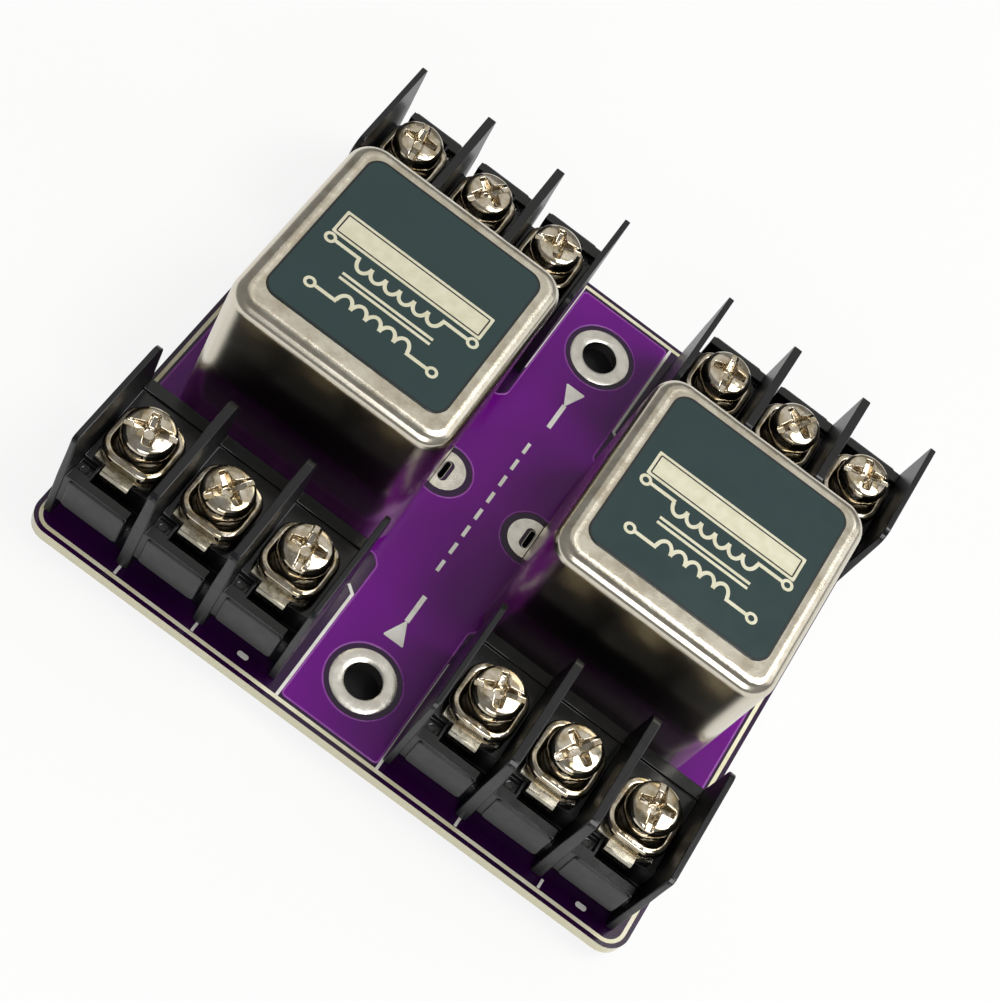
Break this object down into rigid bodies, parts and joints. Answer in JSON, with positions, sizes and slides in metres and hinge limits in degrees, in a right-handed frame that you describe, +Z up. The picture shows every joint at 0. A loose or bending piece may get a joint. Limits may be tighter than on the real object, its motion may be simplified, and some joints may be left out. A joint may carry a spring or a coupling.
{
  "type": "audio isolation transformer",
  "caption": "Purple circuit board with canned audio isolation transformers standing between black barrier screw terminals, held by plated mounting holes in the middle strip.",
  "frame": {"origin": "midway between the two mounting holes, on the underside of the board", "axes": "+X along the board's length, past both cans; +Y from the front terminals to the back ones; +Z up, out of the board's component side"},
  "size_m": [0.074, 0.068, 0.0257],
  "materials": {
    "solder_mask": "glossy purple solder mask over glass-epoxy laminate",
    "tin_plating": "levelled tin over copper",
    "solder": "bright wave-soldered fillets",
    "nickel_can": "drawn steel with a satin nickel plating",
    "label_film": "matt dark green film with a pale bar",
    "phenolic": "brown phenolic board",
    "core_steel": "stacked silicon steel laminations",
    "bobbin_nylon": "natural moulded nylon",
    "enamelled_copper": "varnished copper wire",
    "copper_foil": "thin copper foil",
    "black_moulding": "satin black moulded thermoplastic",
    "tinned_brass": "tin-plated stamped brass",
    "nickel_hardware": "bright nickel-plated steel"
  },
  "bodies": {
    "root": {"circuit_board": "solder_mask", "mounting_eyelets": "tin_plating", "lug_slot_plating": "tin_plating", "terminal_solder": "solder", "transformer_solder": "solder", "left_can": "nickel_can", "left_label": "label_film", "left_header": "phenolic", "left_pins": "tin_plating", "left_core": "core_steel", "left_bobbin": "bobbin_nylon", "left_primary_winding": "enamelled_copper", "left_foil_screen": "copper_foil", "left_secondary_winding": "enamelled_copper", "right_can": "nickel_can", "right_label": "label_film", "right_header": "phenolic", "right_pins": "tin_plating", "right_core": "core_steel", "right_bobbin": "bobbin_nylon", "right_primary_winding": "enamelled_copper", "right_foil_screen": "copper_foil", "right_secondary_winding": "enamelled_copper", "front_left_housing": "black_moulding", "front_left_contacts": "tinned_brass", "front_left_clamps": "nickel_hardware", "front_left_lock_washers": "nickel_hardware", "front_left_screws": "nickel_hardware", "front_right_housing": "black_moulding", "front_right_contacts": "tinned_brass", "front_right_clamps": "nickel_hardware", "front_right_lock_washers": "nickel_hardware", "front_right_screws": "nickel_hardware", "back_left_housing": "black_moulding", "back_left_contacts": "tinned_brass", "back_left_clamps": "nickel_hardware", "back_left_lock_washers": "nickel_hardware", "back_left_screws": "nickel_hardware", "back_right_housing": "black_moulding", "back_right_contacts": "tinned_brass", "back_right_clamps": "nickel_hardware", "back_right_lock_washers": "nickel_hardware", "back_right_screws": "nickel_hardware"}
  },
  "joints": []
}
